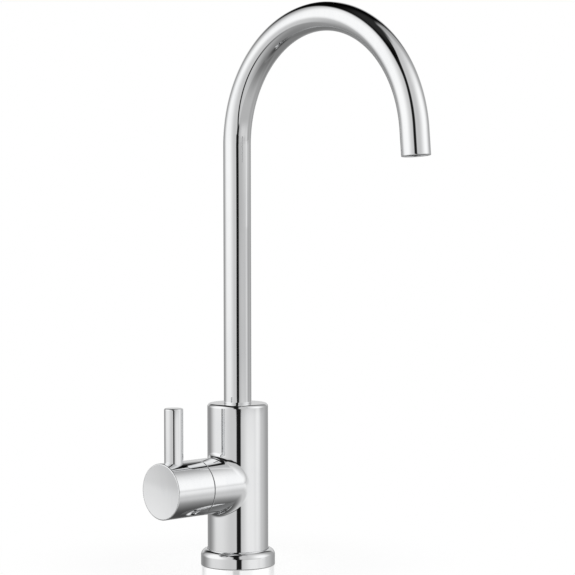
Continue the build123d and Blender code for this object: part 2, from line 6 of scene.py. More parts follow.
import bpy
from mathutils import Matrix, Vector


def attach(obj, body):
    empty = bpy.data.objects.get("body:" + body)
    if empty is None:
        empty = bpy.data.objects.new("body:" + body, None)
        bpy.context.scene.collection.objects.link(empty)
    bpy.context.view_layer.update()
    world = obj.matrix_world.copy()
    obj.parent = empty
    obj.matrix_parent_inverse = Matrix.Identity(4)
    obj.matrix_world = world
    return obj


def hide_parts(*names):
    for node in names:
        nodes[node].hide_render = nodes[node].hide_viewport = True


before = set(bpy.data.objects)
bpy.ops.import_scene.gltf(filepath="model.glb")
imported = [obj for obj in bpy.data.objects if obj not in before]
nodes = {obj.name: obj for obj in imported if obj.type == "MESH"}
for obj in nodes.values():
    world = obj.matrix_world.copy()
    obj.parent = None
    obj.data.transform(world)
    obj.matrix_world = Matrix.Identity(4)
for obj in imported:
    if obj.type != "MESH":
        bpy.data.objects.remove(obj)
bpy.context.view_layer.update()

# Sizes in millimetres, as the solids have them
MM = 0.001
COLUMN_R = 14.0
COLUMN_TOP = 74.9
COLUMN_FOOT = 6.3
FOOT_R = 12.0
FOOT_BOTTOM = 1.5
STUD_SOCKET_R = 6.05
STUD_SOCKET_TOP = 14.3
RISING_WATER_R = 5.6
RISING_WATER_TOP = 17.3
SOCKET_R = 6.4
SOCKET_FLOOR = 50.0
SCREW_WAY_R = 2.05
SPOUT_SCREW_Z = 63.95
RING_R = 17.1
RING_TOP = 7.5
RING_GAP = 0.15
SEAL_INNER = 13.575
SEAL_OUTER = 15.675
SEAL_PLAY = 0.05
SEAL_TOP = 1.5
TUBE_R = 6.35
TUBE_WALL = 1.0
TUBE_FOOT = 68.25
RISER_TOP = 193.7
BOW_R = 55.5
BOW_TURN = radians(175.0)
TAIL = 11.4
SHANK_R = 6.0
SHANK_FOOT = -52.0
SHANK_TOP = 14.0
SHANK_PITCH = 1.5
WASHER_BORE = 6.3
GASKET_TOP = -20.0
GASKET_FOOT = -22.0
WASHER_FOOT = -23.5
LOCK_WASHER_Z = -23.9
NUT_FLATS = 19.0
NUT_FOOT = -29.3
NUT_TOP = -24.3

# Sizes along the branch, whose stations run outwards from the riser's axis
BRANCH_R = 12.75
BRANCH_Z = 38.0
BRANCH_END = 25.2
PASSAGE_R = 4.2
PASSAGE_START = -5.0
CHAMBER_R = 9.4
CHAMBER_START = 1.0
SLEEVE_BORE_R = 10.35
SLEEVE_BORE_START = 12.75
MOUTH_R = 11.4
MOUTH_START = 23.2
HUB_START = 25.6
HUB_END = 46.8
HUB_CAVITY_R = 10.65
HUB_CAVITY_END = 33.45
HUB_SOCKET_END = 42.95
SPLINE_CREST = 4.05
SPLINE_TEETH = 20
SPLINE_TOOTH = 0.4
LEVER_S = 39.0
LEVER_R = 4.3
LEVER_TOP = 75.1
LEVER_SEAT = 49.003
STUD_HOLE_R = 3.05
STUD_HOLE_FOOT = 43.95

# Where the polish is softer than the solids
COLUMN_EDGE = 1.6
BLEND_WIDTH = 2.3
FACE_DISH = 0.3

# Points of the casting's skin: a square patch of the column holds the blend, bands go round the back
SIDE_POINTS = 64
SKIN_POINTS = 4 * SIDE_POINTS
BACK_BANDS = 52
BLEND_ROWS = 9
PATCH_ROWS = 12
PATCH_TURN = radians(100)
PATCH_LOW = 16.0
PATCH_HIGH = 60.0
PLAIN_BRANCH = 20.8

# Metres within which two points are one, after a boolean and on a seam
MERGED = 2e-6
SAME = 1e-7

# The fit of the tap's outlines in the photograph
CAMERA_TURN = radians(-42.475)
CAMERA_AWAY = 979.527
CAMERA_HEIGHT = 172.062
CAMERA_LENS = 133.23
AIM_TURN = radians(-1.351)
AIM_PITCH = radians(-2.5682)
AIM_ROLL = radians(-0.0792)

DEGREE = pi / 180
DISPLAY_GAMMA = 2.2
WHITE = (1, 1, 1, 1)


# Modelling helpers

def fresh():
    """Nothing selected, object mode."""
    if bpy.context.object and bpy.context.object.mode != "OBJECT":
        bpy.ops.object.mode_set(mode="OBJECT")
    bpy.ops.object.select_all(action="DESELECT")


def editing(kind="EDGE", selected="SELECT"):
    bpy.ops.object.mode_set(mode="EDIT")
    bpy.ops.mesh.select_mode(type=kind)
    if selected:
        bpy.ops.mesh.select_all(action=selected)


def finish_faces():
    """Ends edit mode with every face of the mesh pointing outwards."""
    bpy.ops.mesh.select_all(action="SELECT")
    bpy.ops.mesh.normals_make_consistent(inside=False)
    bpy.ops.object.mode_set(mode="OBJECT")


def only(piece):
    """This piece alone is selected and active."""
    fresh()
    piece.select_set(True)
    bpy.context.view_layer.objects.active = piece


def select_points(piece, chosen):
    """Starts edit mode with only those vertices selected whose place is chosen."""
    only(piece)
    for group in (piece.data.edges, piece.data.polygons):
        for item in group:
            item.select = False
    for vertex in piece.data.vertices:
        vertex.select = chosen(vertex.co)
    editing("VERT", selected=None)


def applied(piece, kind, **settings):
    """Adds a modifier with these settings and applies it."""
    only(piece)
    modifier = piece.modifiers.new(kind.title(), kind)
    for key, value in settings.items():
        setattr(modifier, key, value)
    bpy.ops.object.modifier_apply(modifier=modifier.name)
    return piece


def combined(piece, operation, other):
    """Boolean with another piece, which goes; hairline leftovers are merged."""
    applied(piece, "BOOLEAN", operation=operation, solver="EXACT", object=other)
    bpy.data.objects.remove(other)
    editing("VERT")
    bpy.ops.mesh.remove_doubles(threshold=MERGED)
    bpy.ops.mesh.dissolve_degenerate(threshold=SAME)
    bpy.ops.object.mode_set(mode="OBJECT")
    return piece


def cut_away(piece, cutter):
    """Takes the cutter's shape out of the piece and removes the cutter."""
    return combined(piece, "DIFFERENCE", cutter)


def set_down(piece, place=(0, 0, 0), turn=(0, 0, 0)):
    """Turns the piece and puts it at a place in millimetres, all in its mesh."""
    only(piece)
    piece.rotation_euler = turn
    piece.location = [value * MM for value in place]
    bpy.ops.object.transform_apply()
    return piece


def to_branch(piece):
    """Turns a piece made about Z so that its heights run outwards along the branch."""
    return set_down(piece, (0, 0, BRANCH_Z), (0, -pi / 2, 0))


def smooth(piece, angle=35):
    only(piece)
    bpy.ops.object.shade_smooth_by_angle(angle=radians(angle))
    return piece


def rounded(corners, steps=5):
    """Stations along a closed profile of (radius, height, rounding) corners.

    A guard line beside each rounding keeps the faces next to it flat when they are shaded.
    """
    stations = []
    for number, (radius, height, rounding) in enumerate(corners):
        here = Vector((radius, height))
        if not rounding:
            stations.append((radius, height))
            continue
        before = (Vector(corners[number - 1][:2]) - here).normalized()
        after = (Vector(corners[(number + 1) % len(corners)][:2]) - here).normalized()
        half = before.angle(after) / 2
        reach = rounding / tan(half)
        centre = here + (before + after).normalized() * rounding / sin(half)
        start = here + before * reach - centre
        turn = start.angle_signed(here + after * reach - centre)
        guard = min(0.3 * rounding, 0.12)
        stations.append(tuple(here + before * (reach + guard)))
        for part in range(steps + 1):
            arm = start.copy()
            arm.rotate(Matrix.Rotation(-turn * part / steps, 2))
            stations.append(tuple(centre + arm))
        stations.append(tuple(here + after * (reach + guard)))
    return stations


def circle(name, points, radius, height):
    """A circle about Z, in edit mode, to be drawn out."""
    fresh()
    bpy.ops.mesh.primitive_circle_add(vertices=points, radius=radius * MM, location=(0, 0, height * MM))
    piece = bpy.context.object
    piece.name = name
    bpy.ops.object.transform_apply()
    editing()
    return piece


def drawn_out(x, y, z):
    """Extrudes what is selected, in millimetres."""
    bpy.ops.mesh.extrude_region_move(TRANSFORM_OT_translate={"value": (x * MM, y * MM, z * MM)})


def turned(name, stations, points=160, solid=False):
    """A lathe piece about Z through (radius, height) stations, with end caps or closed on itself."""
    radius, height = stations[0]
    piece = circle(name, points, radius, height)
    if solid:
        bpy.ops.mesh.edge_face_add()
    path = stations[1:] if solid else stations[1:] + stations[:1]
    for new_radius, new_height in path:
        drawn_out(0, 0, new_height - height)
        if abs(new_radius - radius) > 1e-7:
            ratio = new_radius / radius
            bpy.ops.transform.resize(value=(ratio, ratio, 1), center_override=(0, 0, new_height * MM))
        radius, height = new_radius, new_height
    bpy.ops.mesh.select_all(action="SELECT")
    if not solid:
        bpy.ops.mesh.remove_doubles(threshold=SAME)
    finish_faces()
    return piece


def thread(name, crest, root, pitch, bottom, top, points=48):
    """A screw thread about Z between two heights, cut off square and closed at both ends."""
    fresh()
    bpy.ops.mesh.primitive_plane_add(size=MM)
    piece = bpy.context.object
    piece.name = name
    set_down(piece, turn=(pi / 2, 0, 0))
    flat = pitch / 8
    outline = [(crest, -flat / 2), (crest, flat / 2), (root, pitch / 2 - flat / 2),
               (root, pitch / 2 + flat / 2), (crest, pitch - flat / 2)]
    editing("VERT")
    bpy.ops.mesh.merge(type="CENTER")
    bpy.ops.transform.translate(value=(outline[0][0] * MM, 0, (bottom - pitch + outline[0][1]) * MM))
    for (r0, z0), (r1, z1) in zip(outline, outline[1:]):
        bpy.ops.mesh.extrude_vertices_move(
            TRANSFORM_OT_translate={"value": ((r1 - r0) * MM, 0, (z1 - z0) * MM)})
    bpy.ops.object.mode_set(mode="OBJECT")
    turns = int((top - bottom) / pitch) + 3
    applied(piece, "SCREW", screw_offset=pitch * MM, iterations=turns, steps=points, render_steps=points)
    editing()
    bpy.ops.mesh.remove_doubles(threshold=MERGED)
    for height, inner in ((bottom, True), (top, False)):
        bpy.ops.mesh.select_all(action="SELECT")
        bpy.ops.mesh.bisect(plane_co=(0, 0, height * MM), plane_no=(0, 0, 1), clear_inner=inner,
                            clear_outer=not inner, use_fill=True, threshold=1e-8)
    finish_faces()
    return piece


def with_thread(core, **sizes):
    """Adds a thread's ridge to a turned core that is a little thicker than the thread's root."""
    ridge = thread("ridge", **sizes)
    # A slight turn keeps its points off the core's, where the boolean would leave slits
    return combined(core, "UNION", set_down(ridge, turn=(0, 0, radians(1.7))))


def round_the_axis(piece, count):
    """Copies of a piece at equal turns about Z, joined to it."""
    copies = []
    for number in range(1, count):
        copy = piece.copy()
        copy.data = piece.data.copy()
        bpy.context.collection.objects.link(copy)
        copies.append(set_down(copy, turn=(0, 0, 2 * pi * number / count)))
    only(piece)
    for copy in copies:
        copy.select_set(True)
    bpy.ops.object.join()
    return piece


# Body casting

class Skin:
    """Rows of points in millimetres, with bands of faces between them."""

    def __init__(self):
        self.points = []
        self.faces = []

    def row(self, places):
        """Adds a row of points and gives their numbers."""
        self.points.extend(Vector(place) * MM for place in places)
        return list(range(len(self.points) - len(places), len(self.points)))

    def band(self, one, two, closed=True):
        for i in range(len(one) if closed else len(one) - 1):
            j = (i + 1) % len(one)
            self.faces.append((one[i], one[j], two[j], two[i]))

    def piece(self, name):
        mesh = bpy.data.meshes.new(name)
        mesh.from_pydata(self.points, [], self.faces)
        piece = bpy.data.objects.new(name, mesh)
        bpy.context.collection.objects.link(piece)
        only(piece)
        editing("FACE")
        finish_faces()
        return piece


def on_column(turn, height, radius=COLUMN_R):
    return (-radius * cos(turn), radius * sin(turn), height)


def chamber_stations():
    """(station, radius) from the chamber's inner end outwards, round the mouth and back along the branch."""
    seat, bore, mouth, end = CHAMBER_START, SLEEVE_BORE_START, MOUTH_START, BRANCH_END
    return [(PASSAGE_START, PASSAGE_R), (seat - 0.3, PASSAGE_R),
            (seat - 0.15, PASSAGE_R + 0.05), (seat, PASSAGE_R + 0.2),
            (seat, CHAMBER_R - 0.2), (seat + 0.2, CHAMBER_R),
            (bore - 0.15, CHAMBER_R), (bore, CHAMBER_R + 0.1),
            (bore, SLEEVE_BORE_R - 0.15), (bore + 0.15, SLEEVE_BORE_R),
            (mouth - 0.15, SLEEVE_BORE_R), (mouth, SLEEVE_BORE_R + 0.15),
            (mouth, MOUTH_R - 0.1), (mouth + 0.1, MOUTH_R), (end - 0.2, MOUTH_R),
            (end, MOUTH_R + 0.2), (end, BRANCH_R - 0.25), (end - 0.01, BRANCH_R - 0.17),
            (end - 0.04, BRANCH_R - 0.08), (end - 0.12, BRANCH_R - 0.01),
            (end - 0.23, BRANCH_R), (end - 0.4, BRANCH_R), (end - 2.2, BRANCH_R),
            (PLAIN_BRANCH, BRANCH_R)]


def top_stations():
    """(radius, height) from the patch up over the column's edge and down the spout's socket."""
    top, wall, ground = COLUMN_TOP, SOCKET_R, SOCKET_FLOOR
    edge, flat = top - COLUMN_EDGE, COLUMN_R - COLUMN_EDGE
    stations = [(COLUMN_R, PATCH_HIGH + 1.5), (COLUMN_R, PATCH_HIGH + 7.0), (COLUMN_R, edge - 0.4),
                (COLUMN_R, edge - 0.12)]
    for number in range(9):
        turn = pi / 2 * number / 8
        stations.append((flat + COLUMN_EDGE * cos(turn), edge + COLUMN_EDGE * sin(turn)))
    return stations + [(flat - 0.2, top), (wall + 0.8, top), (wall + 0.26, top), (wall + 0.2, top - 0.02),
                       (wall + 0.02, top - 0.18), (wall, top - 0.3), (wall, top - 0.6), (wall, ground + 0.2),
                       (wall - 0.05, ground + 0.05), (wall - 0.2, ground)]


def foot_stations():
    """(radius, height) from the patch down over the foot and up into the shank's socket."""
    shoulder, bottom = COLUMN_FOOT, FOOT_BOTTOM
    socket, socket_top, water, water_top = STUD_SOCKET_R, STUD_SOCKET_TOP, RISING_WATER_R, RISING_WATER_TOP
    return [(COLUMN_R, PATCH_LOW - 2.0), (COLUMN_R, PATCH_LOW - 7.0), (COLUMN_R, shoulder + 0.3),
            (COLUMN_R - 0.02, shoulder + 0.1), (COLUMN_R - 0.1, shoulder + 0.02),
            (COLUMN_R - 0.2, shoulder), (FOOT_R + 0.2, shoulder), (FOOT_R, shoulder - 0.2),
            (FOOT_R, bottom + 0.6), (FOOT_R - 0.06, bottom + 0.47),
            (FOOT_R - 0.44, bottom + 0.03), (FOOT_R - 0.6, bottom),
            (socket + 0.55, bottom),
            (socket + 0.35, bottom + 0.05), (socket + 0.03, bottom + 0.45),
            (socket, bottom + 0.6), (socket, socket_top - 0.2),
            (socket - 0.05, socket_top), (water, socket_top),
            (water, water_top - 0.2), (water - 0.1, water_top)]


def branch_skin(skin):
    """Valve chamber, mouth, branch and blend; gives the last row and its landings on the column."""
    angles = [2 * pi * i / SKIN_POINTS for i in range(SKIN_POINTS)]
    last = None
    for station, radius in chamber_stations():
        row = skin.row([(-station, radius * cos(a), BRANCH_Z + radius * sin(a)) for a in angles])
        if last:
            skin.band(last, row)
        else:
            skin.faces.append(tuple(row))
        last = row
    # The polished blend keeps its width, so its ball grows where the two skins meet at a flat angle
    balls = [BLEND_WIDTH / tan(acos(BRANCH_R / COLUMN_R * cos(a) ** 2) / 2) for a in angles]
    centres = [Vector((-sqrt((COLUMN_R + b) ** 2 - ((BRANCH_R + b) * cos(a)) ** 2), (BRANCH_R + b) * cos(a),
                       BRANCH_Z + (BRANCH_R + b) * sin(a))) for a, b in zip(angles, balls)]
    contacts = [Vector((c.x, BRANCH_R * cos(a), BRANCH_Z + BRANCH_R * sin(a)))
                for c, a in zip(centres, angles)]
    landings = [Vector((c.x * COLUMN_R / (COLUMN_R + b), c.y * COLUMN_R / (COLUMN_R + b), c.z))
                for c, b in zip(centres, balls)]
    for share in (0.3, 0.6, 0.85, 0.95):
        row = skin.row([(-PLAIN_BRANCH + (p.x + PLAIN_BRANCH) * share, p.y, p.z) for p in contacts])
        skin.band(last, row)
        last = row
    for number in range(BLEND_ROWS + 1):
        places = []
        for centre, contact, landing, ball in zip(centres, contacts, landings, balls):
            arm = (contact - centre).slerp(landing - centre, number / BLEND_ROWS)
            places.append(centre + arm.normalized() * ball)
        row = skin.row(places)
        skin.band(last, row)
        last = row
    return last, landings


def patch_edge(i):
    """Turn and height of a point on the patch's square edge, in step with the blend's points."""
    side, along = divmod((i + SIDE_POINTS // 2) % SKIN_POINTS, SIDE_POINTS)
    share = 2 * along / SIDE_POINTS - 1
    middle, half = (PATCH_LOW + PATCH_HIGH) / 2, (PATCH_HIGH - PATCH_LOW) / 2
    return ((PATCH_TURN, middle + half * share), (-PATCH_TURN * share, PATCH_HIGH),
            (-PATCH_TURN, middle - half * share), (PATCH_TURN * share, PATCH_LOW))[side]


def column_skin(skin, last, landings):
    """The column's patch round the blend, and its back; gives its upper and lower rings and their turns."""
    inner = [(atan2(p.y, -p.x), p.z) for p in landings]
    for number in range(1, PATCH_ROWS + 1):
        share = (number / PATCH_ROWS) ** 1.35
        places = []
        for i, (t0, z0) in enumerate(inner):
            t1, z1 = patch_edge(i)
            places.append(on_column(t0 + (t1 - t0) * share, z0 + (z1 - z0) * share))
        row = skin.row(places)
        skin.band(last, row)
        last = row
    corner = SIDE_POINTS // 2
    top_side, left_side, low_side, right_side = (
        [last[(corner + SIDE_POINTS * side + k) % SKIN_POINTS] for k in range(SIDE_POINTS + 1)]
        for side in range(4))
    columns = [right_side]
    back_turn = (2 * pi - 2 * PATCH_TURN) / BACK_BANDS
    for k in range(1, BACK_BANDS):
        turn = PATCH_TURN + back_turn * k
        columns.append(skin.row([on_column(turn, PATCH_LOW + (PATCH_HIGH - PATCH_LOW) * j / SIDE_POINTS)
                                 for j in range(SIDE_POINTS + 1)]))
    columns.append(list(reversed(left_side)))
    for one, two in zip(columns, columns[1:]):
        skin.band(one, two, closed=False)
    turns = [PATCH_TURN * (1 - 2 * k / SIDE_POINTS) for k in range(SIDE_POINTS + 1)]
    turns += [-PATCH_TURN - back_turn * k for k in range(1, BACK_BANDS)]
    top_ring = top_side + [columns[BACK_BANDS - k][SIDE_POINTS] for k in range(1, BACK_BANDS)]
    low_ring = list(reversed(low_side)) + [columns[BACK_BANDS - k][0] for k in range(1, BACK_BANDS)]
    return top_ring, low_ring, turns


def body_casting():
    """Column and branch as one skin, in rows from the branch's mouth over the blend and round the column."""
    skin = Skin()
    top_ring, low_ring, turns = column_skin(skin, *branch_skin(skin))
    for last, stations, upwards in ((top_ring, top_stations(), True), (low_ring, foot_stations(), False)):
        for radius, height in stations:
            row = skin.row([on_column(turn, height, radius) for turn in turns])
            one, two = (row, last) if upwards else (last, row)
            skin.band(one, two)
            last = row
        skin.faces.append(tuple(reversed(last) if upwards else last))
    piece = skin.piece("body_casting")
    # Way for the spout's screw, from the back into the socket, and the two waterways from the chamber
    for name, radius, length, points, *places in (
            ("screw_way", SCREW_WAY_R, 9.5, 40, (0, 5.5, SPOUT_SCREW_Z), (-pi / 2, 0, 0)),
            ("outlet_way", 2.3, 5.0, 32, (-3.6, 0, 45.6)), ("rising_way", 3.0, 19.0, 32, (5.0, 0, 16.0))):
        way = turned(name, [(radius, 0), (radius, length)], points=points, solid=True)
        cut_away(piece, set_down(way, *places))
    smooth(piece, 32)
    true_normals(piece)
    return piece


def true_normals(piece):
    """Gives the casting's round skin the normals of true cylinders, so that the polish shows no facets."""
    mesh = piece.data
    normals = [Vector(n.vector) for n in mesh.corner_normals]
    for face in mesh.polygons:
        for corner in face.loop_indices:
            place = mesh.vertices[mesh.loops[corner].vertex_index].co
            column = Vector((place.x, place.y, 0))
            branch = Vector((0, place.y, place.z - BRANCH_Z * MM))
            for arm, radius in ((column, COLUMN_R), (branch, BRANCH_R)):
                if abs(arm.length - radius * MM) < 2 * SAME and face.normal.dot(arm.normalized()) > 0.995:
                    normals[corner] = arm.normalized()
                    break
    mesh.normals_split_custom_set(normals)


# Spout, ring, hub and lever

def spout():
    """One tube: riser, bow and tail, with its wall and softened ends."""
    piece = circle("spout_pipe", 128, TUBE_R, TUBE_FOOT)
    for share in (0.004, 0.246, 0.25, 0.25, 0.25):
        drawn_out(0, 0, (RISER_TOP - TUBE_FOOT) * share)
    bpy.ops.mesh.spin(steps=168, angle=BOW_TURN, center=(0, -BOW_R * MM, RISER_TOP * MM), axis=(-1, 0, 0))
    for length in (0.5, TAIL - 1.0, 0.5):
        drawn_out(0, -sin(BOW_TURN) * length, cos(BOW_TURN) * length)
    bpy.ops.mesh.select_all(action="SELECT")
    bpy.ops.mesh.remove_doubles(threshold=SAME)
    finish_faces()
    applied(piece, "SOLIDIFY", thickness=TUBE_WALL * MM, offset=-1)
    applied(piece, "BEVEL", width=0.28 * MM, segments=3, limit_method="ANGLE", angle_limit=radians(60))
    return smooth(piece)


def base_ring():
    """Loose ring under the body, with its big shoulder, the body's recess and the seal's groove."""
    groove_inner, groove_outer = SEAL_INNER - SEAL_PLAY, SEAL_OUTER + SEAL_PLAY
    corners = [(RING_R, 0, 0.3), (RING_R, RING_TOP, 2.85), (COLUMN_R + RING_GAP, RING_TOP, 0.08),
               (COLUMN_R + RING_GAP, COLUMN_FOOT, 0), (FOOT_R + RING_GAP, COLUMN_FOOT, 0.1),
               (FOOT_R + RING_GAP, 0, 0.1), (groove_inner, 0, 0.08), (groove_inner, SEAL_TOP, 0),
               (groove_outer, SEAL_TOP, 0), (groove_outer, 0, 0.08)]
    return smooth(turned("ring", rounded(corners, steps=8), points=224))


def hub():
    """Cup over the end of the valve: faced end, splined socket, lever's seat and a way for the screw."""
    face_radius, core, pin_hole = 12.25, 3.55, 1.0
    corners = [(HUB_CAVITY_R, HUB_START, 0.1), (BRANCH_R, HUB_START, 0.2), (BRANCH_R, HUB_END - 0.001, 0.48),
               (face_radius, HUB_END, 0)]
    for radius in (10.5, 8.5, 6.5, 4.5, 2.5, pin_hole):
        corners.append((radius, HUB_END - FACE_DISH * (1 - (radius / face_radius) ** 2), 0))
    corners += [(pin_hole, 42.6, 0), (core, 42.6, 0), (core, HUB_CAVITY_END, 0),
                (HUB_CAVITY_R, HUB_CAVITY_END, 0.4)]
    piece = turned("hub", rounded(corners, steps=6), points=224)
    close_pole(piece, pin_hole + 0.1)
    cut_away(piece, splined("hub_splines", SPLINE_CREST, HUB_CAVITY_END - 0.45, HUB_SOCKET_END))
    to_branch(piece)
    seat = [(STUD_HOLE_R, STUD_HOLE_FOOT), (STUD_HOLE_R, LEVER_SEAT), (LEVER_R + 0.05, LEVER_SEAT),
            (LEVER_R + 0.05, 56.0)]
    way = [(SCREW_WAY_R, 24.0), (SCREW_WAY_R, BRANCH_Z)]
    for name, stations, points in (("lever_seat", seat, 96), ("screw_way", way, 40)):
        cutter = turned(name, stations, points=points, solid=True)
        cut_away(piece, set_down(cutter, (-LEVER_S, 0, 0)))
    return smooth(piece, 32)


def splined(name, crest, bottom, top):
    """A toothed prism about Z: every second pair of points stands back by a tooth's height."""
    points = SPLINE_TEETH * 4
    piece = turned(name, [(crest, bottom), (crest, top)], points=points, solid=True)
    select_points(piece, lambda place: round(atan2(place.y, place.x) / (2 * pi) * points) % 4 in (0, 1))
    ratio = (crest - SPLINE_TOOTH) / crest
    bpy.ops.transform.resize(value=(ratio, ratio, 1), center_override=(0, 0, 0))
    bpy.ops.object.mode_set(mode="OBJECT")
    return piece


def close_pole(piece, radius):
    """Closes the pin hole that a turned piece keeps about its axis."""
    select_points(piece, lambda place: place.xy.length < radius * MM)
    bpy.ops.mesh.delete(type="FACE")
    bpy.ops.mesh.select_mode(type="EDGE")
    bpy.ops.mesh.select_all(action="DESELECT")
    bpy.ops.mesh.select_non_manifold()
    bpy.ops.mesh.fill_holes(sides=0)
    finish_faces()


def lever():
    """Pin lever with a softened top, on a threaded stud that screws into the hub."""
    foot, core, neck = 44.0, 2.45, 2.25
    corners = [(0, foot, 0), (core - 0.35, foot, 0), (core, foot + 0.35, 0), (core, foot + 4.3, 0),
               (neck, foot + 4.5, 0), (neck, LEVER_SEAT, 0), (LEVER_R, LEVER_SEAT, 0.08),
               (LEVER_R, LEVER_TOP, 0.6), (0, LEVER_TOP, 0)]
    piece = turned("lever", rounded(corners, steps=8)[1:-1], points=128, solid=True)
    with_thread(piece, crest=2.97, root=2.3, pitch=1.0, bottom=44.47, top=48.17, points=64)
    return smooth(set_down(piece, (-LEVER_S, 0, 0)))


# Fixing below the deck

def shank():
    """Hollow threaded shank with its O-ring groove at the top."""
    foot, top = SHANK_FOOT, SHANK_TOP
    core, groove, bore, lead = 5.2, 4.7, 3.6, 0.5
    groove_low, groove_high = 10.6, 12.4
    corners = [(0, foot, 0), (core - 0.2, foot, 0), (core, foot + 0.2, 0), (core, 9.6, 0),
               (SHANK_R, 9.8, 0), (SHANK_R, groove_low, 0.05), (groove, groove_low, 0.1),
               (groove, groove_high, 0.1), (SHANK_R, groove_high, 0.05), (SHANK_R, top - 0.8, 0),
               (core, top, 0), (0, top, 0)]
    piece = turned("shank", rounded(corners, steps=3)[1:-1], points=96, solid=True)
    with_thread(piece, crest=SHANK_R, root=5.1, pitch=SHANK_PITCH, bottom=-51.6, top=9.7, points=64)
    hollow = [(bore + lead, foot - 1.0), (bore + lead, foot), (bore, foot + lead),
              (bore, top - lead), (bore + lead, top), (bore + lead, top + 1.0)]
    cut_away(piece, turned("shank_bore", hollow, points=72, solid=True))
    foot_lead = [(5.1, foot - 0.3), (6.6, foot - 0.3), (6.6, foot + 1.4)]
    cut_away(piece, turned("shank_lead", foot_lead, points=96))
    return smooth(piece, 32)


def fixing_nut():
    """Hexagon nut with turned-off corners, countersunk at both ends and tapped."""
    foot, top = NUT_FOOT, NUT_TOP
    corner, face, sink, tapped = NUT_FLATS / sqrt(3), 9.2, 6.75, 6.05
    piece = turned("nut", [(corner, foot), (corner, top)], points=6, solid=True)
    set_down(piece, turn=(0, 0, pi / 6))
    blank = [(face - 0.15, foot - 0.02), (face, foot), (corner + 0.05, foot + 0.95),
             (corner + 0.05, top - 0.95), (face, top), (face - 0.15, top + 0.02)]
    combined(piece, "INTERSECT", turned("nut_blank", blank, points=120, solid=True))
    bore = [(sink, foot - 1), (sink, foot), (tapped, foot + 0.7), (tapped, top - 0.7),
            (sink, top), (sink, top + 1)]
    cut_away(piece, turned("nut_bore", bore, points=96, solid=True))
    cut_away(piece, thread("nut_tap", crest=6.5, root=5.9, pitch=SHANK_PITCH, bottom=foot - 1.4,
                           top=top + 1.4, points=64))
    return smooth(piece, 30)


def fixing_washer():
    """Stamped washer: rolled over on the punch's side, crisp on the other."""
    rim = 12.0
    corners = [(WASHER_BORE, WASHER_FOOT, 0.08), (rim, WASHER_FOOT, 0.08), (rim, GASKET_FOOT, 0.5),
               (WASHER_BORE, GASKET_FOOT, 0.3)]
    return smooth(turned("washer", rounded(corners), points=144))


def lock_washer():
    """Toothed washer of thin sheet, each tooth twisted across the space it has."""
    rim, half, tooth_at = 9.5, 0.25, 10.2
    low, high = LOCK_WASHER_Z - half, LOCK_WASHER_Z + half
    corners = [(WASHER_BORE, low, 0.06), (rim, low, 0.06), (rim, high, 0.06), (WASHER_BORE, high, 0.06)]
    piece = turned("toothed_washer", rounded(corners, steps=2), points=144)
    fresh()
    middle = (tooth_at * MM, 0, LOCK_WASHER_Z * MM)
    bpy.ops.mesh.primitive_cube_add(size=MM, location=middle)
    tooth = bpy.context.object
    editing()
    bpy.ops.transform.resize(value=(2.34, 2.4, 2 * half), center_override=middle)
    bpy.ops.transform.rotate(value=radians(7), orient_axis="X", center_override=middle)
    bpy.ops.mesh.bevel(offset=0.05 * MM, segments=1)
    bpy.ops.object.mode_set(mode="OBJECT")
    bpy.ops.object.transform_apply()
    combined(piece, "UNION", round_the_axis(tooth, 12))
    return smooth(piece, 30)


def deck_gasket():
    """Moulded rubber washer with sealing ribs on both faces."""
    def ribs(height, into):
        line = []
        for radius in (8.0, 9.7, 11.4):
            for beside, level in ((-0.45, 0), (-0.3, into), (0.3, into), (0.45, 0)):
                line.append((radius + beside, height + level, 0))
        return line

    rim = 13.0
    corners = [(WASHER_BORE, GASKET_FOOT, 0.2)] + ribs(GASKET_FOOT, 0.22)
    corners += [(rim, GASKET_FOOT, 0.3), (rim, GASKET_TOP, 0.3)]
    corners += list(reversed(ribs(GASKET_TOP, -0.22))) + [(WASHER_BORE, GASKET_TOP, 0.2)]
    return smooth(turned("gasket", rounded(corners, steps=4), points=144))


def base_seal():
    """Flat rubber ring in the base ring's groove, hollow between its two lips."""
    lip, slope, hollow = 0.525, 0.2, 0.35
    corners = [(SEAL_INNER, 0, 0.25), (SEAL_INNER + lip, 0, 0.1), (SEAL_INNER + lip + slope, hollow, 0.1),
               (SEAL_OUTER - lip - slope, hollow, 0.1), (SEAL_OUTER - lip, 0, 0.1), (SEAL_OUTER, 0, 0.25),
               (SEAL_OUTER, SEAL_TOP, 0.2), (SEAL_INNER, SEAL_TOP, 0.2)]
    return smooth(turned("ring_seal", rounded(corners, steps=3), points=176))


def o_ring(name, inner, section, place, on_branch):
    """Round rubber ring with the fine flash line of its mould, at a height, or at a station on the branch."""
    stations = []
    for number in range(20):
        turn = 2 * pi * number / 20
        reach = section / 2 + (0.012 if number in (0, 10) else 0)
        stations.append((inner + section / 2 + reach * cos(turn), place + section / 2 * sin(turn)))
    ring = smooth(turned(name, stations, points=112), 50)
    return to_branch(ring) if on_branch else ring


def set_screw(name, length):
    """Headless dog-point screw: its socket's end at height 0, its tip below."""
    dog, neck, core, collar = 1.2, 1.4, 1.62, 1.6 - length
    stations = [(dog - 0.15, -length), (dog, -length + 0.15), (dog, collar), (neck, collar),
                (core, collar + 0.22), (core, -0.2), (core - 0.17, 0)]
    piece = turned(name, stations, points=64, solid=True)
    with_thread(piece, crest=1.99, root=1.55, pitch=0.7, bottom=collar + 0.35, top=-0.25, points=40)
    key = 2 / sqrt(3)
    cut_away(piece, turned("key_socket", [(0.1, -2.5), (key, -2.0), (key, 1.0)], points=6, solid=True))
    return smooth(piece, 30)


def spout_screw():
    """Screw in the column's back that keeps the turning spout in its socket."""
    return set_down(set_screw("spout_screw", 8.4), (0, 13.5, SPOUT_SCREW_Z), (-pi / 2, 0, 0))


